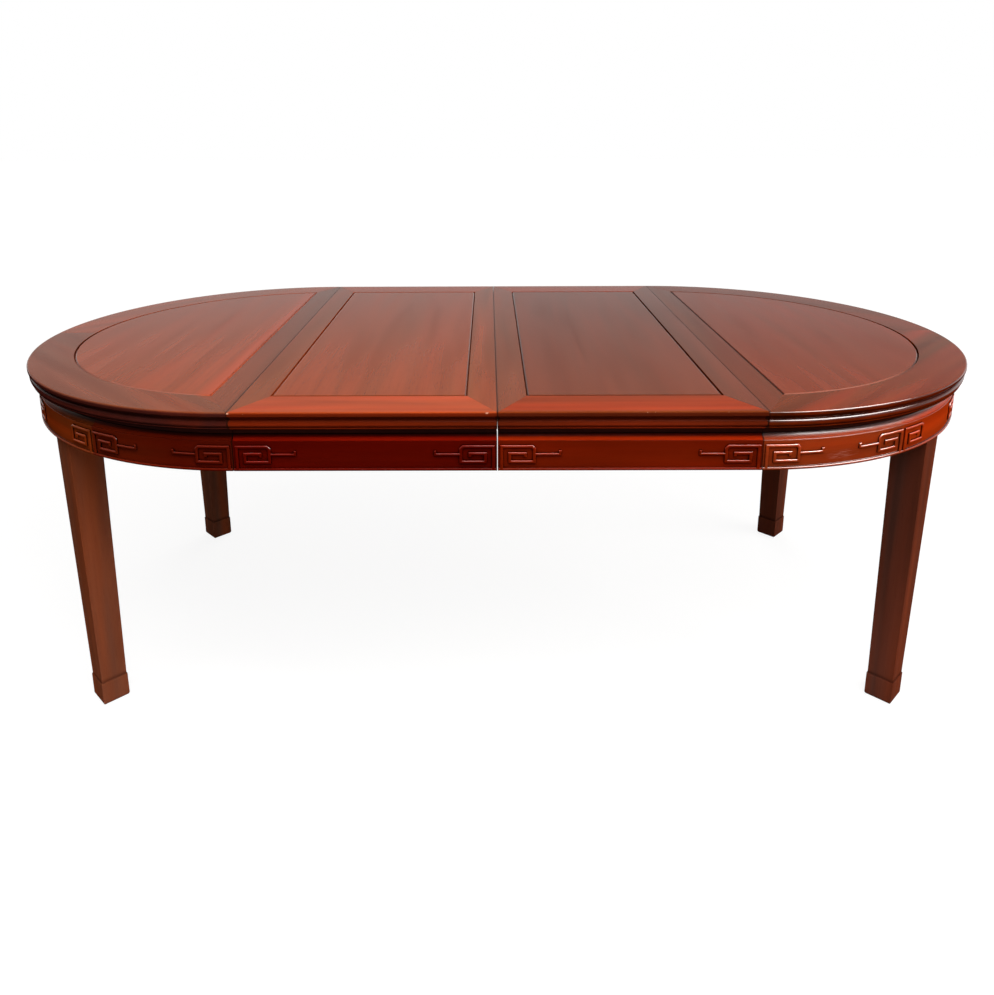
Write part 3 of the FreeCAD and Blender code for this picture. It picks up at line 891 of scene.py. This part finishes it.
def distance_across(tree, spot):
    """Height for a straight apron: the distance from the middle plane of the table."""
    sideways = part_along(tree, (-1700, -700), spot, "Y")
    return node(tree, "Math", (-1550, -700), "ABSOLUTE", _0=sideways).outputs[0]


def by_upward_normal(tree, stops):
    """An amount from how far a face looks up, as (upward part of the normal, amount) pairs; it gives gloss,
    and on carving also where the painted highlight goes.
    """
    normal = node(tree, "NewGeometry", (-900, -950)).outputs["Normal"]
    upward = part_along(tree, (-750, -950), normal, "Z")
    return by_level(tree, (-300, -950), upward, stops)


print("moulded edge: from", under_level, "to", top_level, "m above the floor")

# %% Tones over the sections
def frame_dark(depth):
    """Underside to top: painted shade on the roll, bead, cove, lip and arris, with painted highlight lines on
    the roll and bead.
    """
    edge_tones = [(0.726, 0.06), (0.7280, 0.10), (0.7292, 0.40), (0.7306, 0.25), (0.7325, 0.28),
                  (0.7350, 0.38), (0.7365, 0.55), (0.7380, 0.42), (0.7410, 0.25), (0.7455, 0.20),
                  (0.7530, 0.30), (0.7580, 0.28)]
    top_tones = [(0.7598, 0.45), (0.7610, 0.8), (0.7618, 1.0)]
    return [(level, depth * amount) for level, amount in edge_tones] + top_tones


def panel_dark(groove):
    """From the wall upwards: painted shade on the groove and slope, lifting over the arris to the flat of the
    panel.
    """
    return [(0.744, groove), (0.7608, groove), (0.7616, 0.7), (0.7619, 1.0)]


def apron_dark(cove):
    """From the cove outwards, all painted: shade in the cove and light on its edge, the plain face, shade at
    the foot of the carving and a highlight on its crest.
    """
    return [(0.5795, 0.2), (0.5815, 0.3 * cove), (0.5835, cove), (0.5870, cove), (0.5885, 0.7 * cove),
            (0.58992, 1.0), (0.59008, 1.0), (0.5903, 0.25), (0.5912, 0.4), (0.5922, 0.95), (0.594, 1.1)]


def leg_dark():
    """From the floor upwards, painted light and shade: a lighter foot, a highlight on its ledge, shade in the
    crease over it, a shaft darker towards the top.
    """
    return [(0.0, 1.25), (0.0545, 1.25), (0.0556, 1.6), (0.0572, 0.55), (0.0610, 0.8), (0.0660, 1.2),
            (0.15, 1.2), (0.45, 1.0), (0.64, 1.0)]


print("tones on the moulded edge:", len(frame_dark(1.0)))

# %% [markdown]
# ## Tint, dirt and fading
# The wood isn't one colour all over. The moulded edge below the top is tinted redder, with less green and
# more blue, old polish has gathered dark along the joints, and the left apron has faded towards the corner.
# Each mark is a function that takes the colour so far and gives it back changed, so marks can be chained.

# %% Tint, dirt and fading
joint_grime = (0.03, 0.008, 0.004, 1)
grime_near, grime_far = 0.0022, 0.0044


def no_marks(tree, spot, colour):
    return colour


def edge_tint(tree, spot, colour):
    """The moulded edge below the top is tinted redder, with less green and more blue."""
    level = part_along(tree, (-1300, 900), spot, "Z")
    amount = tone(tree, (-1150, 900), level, 0.7590, 0.7612, 1.0, 0.0)
    return blend(tree, (-1000, 900), "MULTIPLY", amount, colour, (1.0, 0.75, 1.6, 1))


def joint_dirt(tree, spot, colour):
    """Darken the wood close to the three joints, where old polish has run in."""
    along = part_along(tree, (-900, 700), spot, "X")
    sections = node(tree, "Math", (-750, 700), "DIVIDE", _0=along, _1=leaf_width).outputs[0]
    whole = node(tree, "Math", (-650, 700), "ROUND", _0=sections).outputs[0]
    nearest = node(tree, "Clamp", (-550, 700), Value=whole, Min=-1.0, Max=1.0).outputs[0]
    offset = node(tree, "Math", (-450, 700), "SUBTRACT", _0=sections, _1=nearest).outputs[0]
    away = node(tree, "Math", (-300, 700), "ABSOLUTE", _0=offset).outputs[0]
    amount = tone(tree, (-150, 700), away, grime_near, grime_far, 0.7, 0.0)
    return blend(tree, (50, 600), "MIX", amount, colour, joint_grime)


def frame_marks(tree, spot, colour):
    return joint_dirt(tree, spot, edge_tint(tree, spot, colour))


def faded_end(tree, spot, colour):
    """The left apron has bleached towards the corner of the table."""
    along = part_along(tree, (-1300, 900), spot, "X")
    amount = tone(tree, (-1150, 900), along, -0.79, -0.60, 1.0, 0.0)
    faded = blend(tree, (-1000, 900), "MULTIPLY", amount, colour, (1.5, 2.4, 2.5, 1))
    return joint_dirt(tree, spot, faded)


print("joint dirt reaches", round(1000 * grime_far * leaf_width, 1), "mm from a joint")

# %% [markdown]
# ## Wear and painted light
# A table that has been used shows it: small chips along the front arris of the leaves, pale where the
# lacquer is gone, a lighter strip of sapwood along the joint of the left end's panel, and a scuffed place on
# the front of the right apron. The front borders of the end panels get a pale painted sheen. On the left
# leaf, the faces on both sides of the panel's left groove get painted light, so that border doesn't show dark
# as the others do.

# %% Wear and marks
bare_wood = (0.50, 0.24, 0.15, 1)
sapwood = (0.40, 0.055, 0.012, 1)
scuffed_lacquer = (0.36, 0.12, 0.085, 1)
# Pale painted sheen on the front slopes of the end panels.
front_painted_sheen = (0.30, 0.11, 0.075, 1)
# Painted light on the faces either side of the left leaf panel's left groove, over its shade.
groove_painted_light = (0.26, 0.050, 0.010, 1)
scuff_centre = (0.655, -0.568, 0.661)


def arris_chips(tree, spot, colour):
    """Small pale chips along the arris, over the marks of the frame."""
    level = part_along(tree, (-700, 700), spot, "Z")
    band = by_level(tree, (-400, 700), level, [(0.7585, 0.0), (0.7592, 1.0), (0.7610, 1.0), (0.7615, 0.0)])
    spots = node(tree, "TexNoise", (-600, 900), Vector=spot, Scale=70.0, Detail=2.0).outputs["Fac"]
    amount = product(tree, (-100, 800), band, tone(tree, (-300, 900), spots, 0.71, 0.74, 0.0, 1.0))
    return blend(tree, (50, 600), "MIX", amount, frame_marks(tree, spot, colour), bare_wood)


def sapwood_strip(tree, spot, colour):
    """A lighter strip along the straight side of the left end's panel."""
    along = part_along(tree, (-700, 700), spot, "X")
    band = by_level(tree, (-400, 700), along, [(-0.590, 0.0), (-0.574, 0.75), (-0.562, 0.9), (-0.552, 0.9)])
    squeezed = node(tree, "Mapping", (-800, 900), Vector=spot, Scale=(220, 3, 1)).outputs[0]
    streaks = node(tree, "TexNoise", (-600, 900), Vector=squeezed, Scale=1.0).outputs["Fac"]
    amount = product(tree, (-100, 800), band, tone(tree, (-300, 900), streaks, 0.2, 0.6, 0.4, 1.0))
    return blend(tree, (50, 600), "MIX", amount, colour, sapwood)


def turned_faces(axis, toward, own_tone, others=no_marks):
    """Marks that give the faces looking along an axis, to -1 or 1, their own tone, and then the others."""
    def marks(tree, spot, colour):
        normal = node(tree, "NewGeometry", (-1300, 1100)).outputs["Normal"]
        part = part_along(tree, (-1150, 1100), normal, axis)
        amount = tone(tree, (-1000, 1100), part, 0.25 * toward, 0.45 * toward, 0.0, 0.8)
        return others(tree, spot, blend(tree, (-850, 1100), "MIX", amount, colour, own_tone))
    return marks


def scuffed_place(tree, spot, colour):
    """Fine scratches in a small oval on the front of the right apron."""
    moved = node(tree, "VectorMath", (-1000, 700), _0=spot, _1=tuple(-v for v in scuff_centre))
    scaled = node(tree, "VectorMath", (-850, 700), "MULTIPLY", _0=moved.outputs[0], _1=(26, 26, 85))
    reach = node(tree, "VectorMath", (-700, 700), "LENGTH", _0=scaled.outputs[0]).outputs["Value"]
    inside = tone(tree, (-500, 700), reach, 0.35, 1.0, 1.0, 0.0)
    turned = node(tree, "Mapping", (-850, 900), Vector=spot, Rotation=(0, 0.35, 0), Scale=(35, 35, 520))
    noise = node(tree, "TexNoise", (-700, 900), Vector=turned.outputs[0], Scale=1.0, Detail=3.0)
    scratches = tone(tree, (-300, 900), noise.outputs["Fac"], 0.48, 0.6, 0.0, 0.65)
    amount = product(tree, (-100, 800), inside, scratches)
    return blend(tree, (50, 600), "MIX", amount, joint_dirt(tree, spot, colour), scuffed_lacquer)


print("scuffed place:", scuff_centre)

# %% [markdown]
# ## Mix the wood
# The base colour is a mean tone, a little darker and a little lighter in the ribbons. The same noise that
# colours the pores gives the bump, so that colour and relief agree. On carved boards the Ambient Occlusion
# node paints shade into the corners round the carving, and crests that look up get a painted highlight and
# more gloss.

# %% Rosewood
def carving_painted_light_and_gloss(tree, spot, relief, level, gloss, carved):
    """Painted shade round the carving and a painted highlight and gloss on crests that look up, from how far
    it stands out.
    """
    # Ambient occlusion paints shade into the corners round the carving.
    corners = node(tree, "AmbientOcclusion", (-450, 450), Distance=0.010)
    corners.samples = 8
    corners.only_local = True
    hollow = tone(tree, (-300, 450), corners.outputs["AO"], 0.5, 0.9, 0.12, 1.0)
    level = product(tree, (-200, 0), level, hollow)
    crest = tone(tree, (-450, -1150), relief, 0.5910, 0.5920, 0.0, 1.0)
    above_bead = tone(tree, (-450, -1300), level_above_floor(tree, spot), 0.6460, 0.6475, 0.1, 1.0)
    looking_up = by_upward_normal(tree, [(0.15, 0.0), (0.45, 1.0)])
    upward_crest = product(tree, (-150, -1200), product(tree, (-300, -1200), crest, above_bead), looking_up)
    # Crests that look up are painted paler: a painted highlight.
    paler = tone(tree, (-200, 250), upward_crest, 0.0, 1.0, 1.0, 1 + 1.55 * carved)
    level = product(tree, (-100, 100), level, paler)
    polished = product(tree, (-100, -1200), upward_crest, carved)
    return level, node(tree, "Math", (0, -1050), "ADD", _0=gloss, _1=polished).outputs[0]


def rosewood(name, grain, mean, figure=0.15, polish=0.22, shine=0.3, rub=None, height=None, dark=(),
             marks=no_marks, seed=0.0, carved=0.0, dull_below=0.0):
    """A lacquered board: its mean tone, how strong the ribbons are, its painted shade and light, its marks
    and where it shines.
    """
    material = bpy.data.materials.new(name)
    tree = new_tree(material)
    spot = node(tree, "TexCoord", (-2100, 0)).outputs["Object"]
    offset = (seed, 3 * seed, 2 * seed)
    vector = node(tree, "VectorMath", (-1250, 0), "ADD", _0=grain(tree, spot), _1=offset).outputs[0]
    colour, surface, clouds = grain_figure(tree, vector, mean, figure)
    shade = tone(tree, (-780, 50), clouds, 0.3, 0.7, 1 - 0.6 * figure, 1 + 0.6 * figure)
    level = product(tree, (-450, -100), surface, shade)
    rough = tone(tree, (-300, -300), clouds, 0.3, 0.7, polish - 0.03, polish + 0.05)
    bump = node(tree, "Bump", (-200, -450), Strength=0.06, Distance=0.0003, Height=surface)
    shader = node(tree, "BsdfPrincipled", (300, 100), Roughness=rough, Normal=bump.outputs[0])
    mirror = shader.inputs["Specular IOR Level"]
    mirror.default_value = shine
    gloss = by_upward_normal(tree, rub) if rub else None
    if dull_below:
        floor_level = level_above_floor(tree, spot)
        in_reach = tone(tree, (-300, -1300), floor_level, dull_below, dull_below + 0.002, 0.0, 1.0)
        gloss = product(tree, (-100, -950), gloss, in_reach)
    # The ramp over the height paints shade and light on edges, grooves and carving.
    if height is not None:
        level = product(tree, (-300, -100), level, by_level(tree, (-600, -700), height(tree, spot), dark))
    if carved:
        level, gloss = carving_painted_light_and_gloss(tree, spot, height(tree, spot), level, gloss, carved)
    if gloss is not None:
        tree.links.new(gloss, mirror)
    grey = node(tree, "CombineColor", (-150, -50), _0=level, _1=level, _2=level)
    colour = blend(tree, (0, 200), "MULTIPLY", 1.0, colour, grey.outputs[0])
    tree.links.new(marks(tree, spot, colour), shader.inputs["Base Color"])
    node(tree, "OutputMaterial", (600, 100), Surface=shader.outputs[0])
    return material


# The waist's near-black tone is painted shade, over the shade it gets under the top.
waist_stain = rosewood("waist_stain", straight_grain(0), (0.05, 0.013, 0.011), figure=0.25, polish=0.5,
                       shine=0.0)
print("waist painted shade:", len(waist_stain.node_tree.nodes), "nodes")

# %% [markdown]
# ## Wood for the panels
# Each board comes from its own log, so each has its own mean tone, matched to the photograph, and its own
# seed for the noise. The grain of the panels runs from front to back. The slope round a panel is
# painted darker than its flat, as painted shade, by the groove factor.

# %% Panel woods
def panel_wood(name, mean, groove, marks=no_marks, seed=0.0, shine=0.48):
    rub = [(0.6, 0.0), (0.8, 0.5 * shine), (0.97, shine)]
    return rosewood(name, straight_grain(90), mean, figure=0.10, polish=0.2, shine=shine, rub=rub,
                    height=level_above_floor, dark=panel_dark(groove), marks=marks, seed=seed)


woods = {
    "left_end_panel": panel_wood(
        "left_end_panel_rosewood", (0.265, 0.047, 0.010), 0.40, seed=1.1,
        # The front slope gets a painted sheen, then the sapwood strip is laid on.
        marks=turned_faces("Y", -1, front_painted_sheen, sapwood_strip)),
    "left_leaf_panel": panel_wood(
        "left_leaf_panel_rosewood", (0.240, 0.041, 0.006), 0.40, seed=2.3,
        # The slope on the panel's left side gets painted light.
        marks=turned_faces("X", -1, groove_painted_light)),
    "right_leaf_panel": panel_wood(
        "right_leaf_panel_rosewood", (0.150, 0.028, 0.006), 0.25, seed=3.7, shine=0.42),
    "right_end_panel": panel_wood(
        "right_end_panel_rosewood", (0.185, 0.025, 0.002), 0.15, seed=4.9, shine=0.24,
        # The front slope gets a painted sheen.
        marks=turned_faces("Y", -1, front_painted_sheen)),
}
print("panel woods:", len(woods))

# %% [markdown]
# ## Wood for the frame
# The rails and rims have their grain along their length, or at half a right angle on the curved rims. The
# front rails are the warmest and have a strong figure. The edge of the right end is polished more than
# the others, and the white card shows on its bead.

# %% Frame woods
roll_level = 0.7305


def frame_wood(name, degrees, mean, figure=0.15, marks=frame_marks, seed=0.0, shine=0.45, depth=1.0,
               polished=0.0):
    """Wood for the frame of the top; depth scales the painted shade and highlights of its moulded edge,
    polished is the gloss there.
    """
    rub = [(0.1, 0.0), (0.5, polished), (0.93, max(polished, 0.5 * shine)), (0.98, shine)]
    return rosewood(name, straight_grain(degrees), mean, figure=figure, polish=0.2, shine=shine, rub=rub,
                    height=level_above_floor, dark=frame_dark(depth), marks=marks, seed=seed,
                    dull_below=roll_level)


woods.update({
    "left_leaf_front_rail": frame_wood(
        "left_front_rail_rosewood", 0, (0.320, 0.042, 0.004), figure=0.25, marks=arris_chips, seed=5.2,
        shine=0.35, depth=1.3),
    "right_leaf_front_rail": frame_wood(
        "right_front_rail_rosewood", 0, (0.215, 0.028, 0.003), figure=0.3, marks=arris_chips, seed=6.6,
        shine=0.1, depth=1.8),
    "left_leaf_back_rail": frame_wood("left_back_rail_rosewood", 0, (0.300, 0.040, 0.005), seed=5.9),
    "right_leaf_back_rail": frame_wood("right_back_rail_rosewood", 0, (0.240, 0.032, 0.004), seed=7.4),
    "left_leaf_inner_rail": frame_wood(
        "left_inner_rail_rosewood", 90, (0.220, 0.040, 0.005), figure=0.2, seed=8.3),
    "right_leaf_inner_rail": frame_wood("right_inner_rail_rosewood", 90, (0.170, 0.036, 0.008), seed=9.1),
    "left_leaf_outer_rail": frame_wood(
        "left_outer_rail_rosewood", 90, (0.215, 0.040, 0.007), seed=10.2,
        # The rail's inner wall facing the panel gets painted light.
        marks=turned_faces("X", 1, groove_painted_light, frame_marks)),
    "right_leaf_outer_rail": frame_wood("right_outer_rail_rosewood", 90, (0.140, 0.026, 0.005), seed=11.4),
    "left_cross_rail": frame_wood("left_cross_rail_rosewood", 90, (0.165, 0.038, 0.012), seed=12.5),
    "right_cross_rail": frame_wood(
        "right_cross_rail_rosewood", 90, (0.128, 0.022, 0.002), seed=13.6, shine=0.28),
    "left_rim_front": frame_wood(
        "left_front_rim_rosewood", -45, (0.185, 0.042, 0.013), figure=0.2, seed=14.1, depth=1.1),
    "left_rim_back": frame_wood("left_back_rim_rosewood", 45, (0.270, 0.048, 0.010), seed=15.3),
    "right_rim_front": frame_wood(
        "right_front_rim_rosewood", 45, (0.160, 0.022, 0.001), figure=0.3, seed=16.8, shine=0.18, depth=1.7,
        polished=0.6),
    "right_rim_back": frame_wood(
        "right_back_rim_rosewood", -45, (0.150, 0.024, 0.003), seed=17.2, shine=0.17, depth=1.7,
        polished=0.6),
})
print("woods so far:", len(woods))

# %% [markdown]
# ## Wood for the aprons, legs and waist
# The aprons are deep red on the left and orange and glossy on the right, where the window lights them. On
# the short boards over the legs and at the ends, the crests of the carving get less painted highlight and
# gloss. The legs are dull, with the grain upright, and the waist is painted almost black, as painted shade.

# %% Apron, leg and waist woods
def apron_wood(name, grain, height, mean, cove, shine, figure=0.2, marks=no_marks, seed=0.0, crest=0.9):
    """Wood for an apron; cove is how bright the painted light on its cove is, crest the painted highlight and
    gloss on its carving.
    """
    rub = [(0.1, 0.0), (0.65, shine)]
    return rosewood(name, grain, mean, figure=figure, shine=shine, rub=rub, height=height,
                    dark=apron_dark(cove), marks=marks, seed=seed, carved=crest)


def curved_apron_wood(name, centre, *tones, **wear):
    return apron_wood(name, ring_grain(centre), distance_from(centre), *tones, **wear)


def leg_wood(name, mean, seed):
    return rosewood(name, upright_grain, mean, figure=0.3, polish=0.45, shine=0.0,
                    height=level_above_floor, dark=leg_dark(), seed=seed)


woods.update({
    "left_leaf_apron": apron_wood(
        "left_leaf_apron_rosewood", straight_grain(0), distance_across, (0.102, 0.0026, 0.0004), 3.8, 0.03,
        marks=joint_dirt, seed=1.7),
    "right_leaf_apron": apron_wood(
        "right_leaf_apron_rosewood", straight_grain(0), distance_across, (0.155, 0.0095, 0.0010), 4.0, 0.04,
        marks=joint_dirt, seed=2.9),
    "left_apron": curved_apron_wood(
        "left_apron_rosewood", -leaf_width, (0.108, 0.006, 0.001), 1.8, 0.05,
        marks=faded_end, seed=3.3, crest=0.6),
    "left_apron_corner": curved_apron_wood(
        "left_corner_apron_rosewood", -leaf_width, (0.185, 0.030, 0.005), 1.5, 0.05,
        figure=0.3, seed=7.7, crest=0.35),
    "left_apron_end": curved_apron_wood(
        "left_end_apron_rosewood", -leaf_width, (0.185, 0.030, 0.005), 1.5, 0.05,
        figure=0.3, seed=7.9, crest=0.05),
    "right_apron": curved_apron_wood(
        "right_apron_rosewood", leaf_width, (0.25, 0.030, 0.006), 2.0, 0.8,
        figure=0.3, marks=scuffed_place, seed=4.4),
    "right_apron_corner": curved_apron_wood(
        "right_corner_apron_rosewood", leaf_width, (0.26, 0.026, 0.003), 2.0, 0.8,
        figure=0.3, seed=8.2, crest=0.7),
    "right_apron_end": curved_apron_wood(
        "right_end_apron_rosewood", leaf_width, (0.26, 0.026, 0.003), 2.0, 0.3,
        figure=0.3, seed=8.4, crest=0.05),
    "left_leg": leg_wood("left_leg_rosewood", (0.195, 0.055, 0.026), 5.5),
    "right_leg": leg_wood("right_leg_rosewood", (0.113, 0.028, 0.015), 6.1),
    "waist": waist_stain,
})
print("woods:", len(woods))

# %% [markdown]
# ## Plain wood and steel
# What is hidden under the top has no lacquer: runners, ties, battens and corner blocks are plain pale
# hardwood that has darkened with age, and the bolts and screws are zinc-plated steel. Their solids are right
# as they are, so they stay and only get a finish.

# %% Hidden finishes
def zinc_steel():
    material = bpy.data.materials.new("zinc_steel")
    tree = new_tree(material)
    spot = node(tree, "TexCoord", (-900, 0)).outputs["Object"]
    haze = node(tree, "TexNoise", (-700, 0), Vector=spot, Scale=260.0, Detail=3.0).outputs["Fac"]
    colour = blend(tree, (-300, 100), "MIX", tone(tree, (-500, 100), haze, 0.35, 0.65, 0.0, 1.0),
                   (0.42, 0.42, 0.43, 1), (0.62, 0.61, 0.60, 1))
    rough = tone(tree, (-500, -100), haze, 0.3, 0.7, 0.32, 0.5)
    shader = node(tree, "BsdfPrincipled", (0, 0), Base_Color=colour, Roughness=rough, Metallic=1.0)
    node(tree, "OutputMaterial", (300, 0), Surface=shader.outputs[0])
    return material


def plain_hardwood(name, degrees, mean):
    return rosewood(name, straight_grain(degrees), mean, figure=0.18, polish=0.55, shine=0.2)


plain_x = plain_hardwood("runner_hardwood", 0, (0.36, 0.21, 0.11))
plain_y = plain_hardwood("tie_hardwood", 90, (0.34, 0.20, 0.10))
steel = zinc_steel()
hidden = {
    "runner_front": plain_x,
    "runner_back": plain_x,
    "battens": plain_x,
    "corner_block_front": plain_y,
    "corner_block_back": plain_y,
    "end_batten": plain_y,
    "runner_ties": plain_y,
    "bolts": steel,
    "screws": steel,
}
finished = []
for name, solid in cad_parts.items():
    for ending, material in hidden.items():
        if name.endswith(ending):
            solid.data.materials.clear()
            solid.data.materials.append(material)
            finished.append(name)
print("hidden solids with a finish:", len(finished))

# %% [markdown]
# ## Put the pieces on their bodies
# Each finished piece stands for one solid of the engineering model and moves with that solid's body, so
# a leaf lifts out whole and an end slides with its legs. The solids stay underneath for collisions and
# aren't shown.


def wood_for(name):
    """The wood of one piece: its own, or the one that the aprons, legs or waist of its side share."""
    if name in woods:
        return woods[name]
    side = name.split("_")[0]
    if "waist" in name:
        return woods["waist"]
    if "leaf_apron" in name:
        return woods[side + "_leaf_apron"]
    if "apron" in name:
        return woods[side + ("_apron_corner" if "corner" in name else "_apron")]
    return woods[side + "_leg"]


for name, piece in pieces.items():
    piece.data.materials.clear()
    piece.data.materials.append(wood_for(name))
    side = name.split("_")[0]
    body = side + ("_leaf" if "_leaf_" in name else "_end")
    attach(piece, body)
    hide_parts(name)
bare = [name for name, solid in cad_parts.items() if name not in pieces and not solid.data.materials]
print("nodes without a finish:", bare)
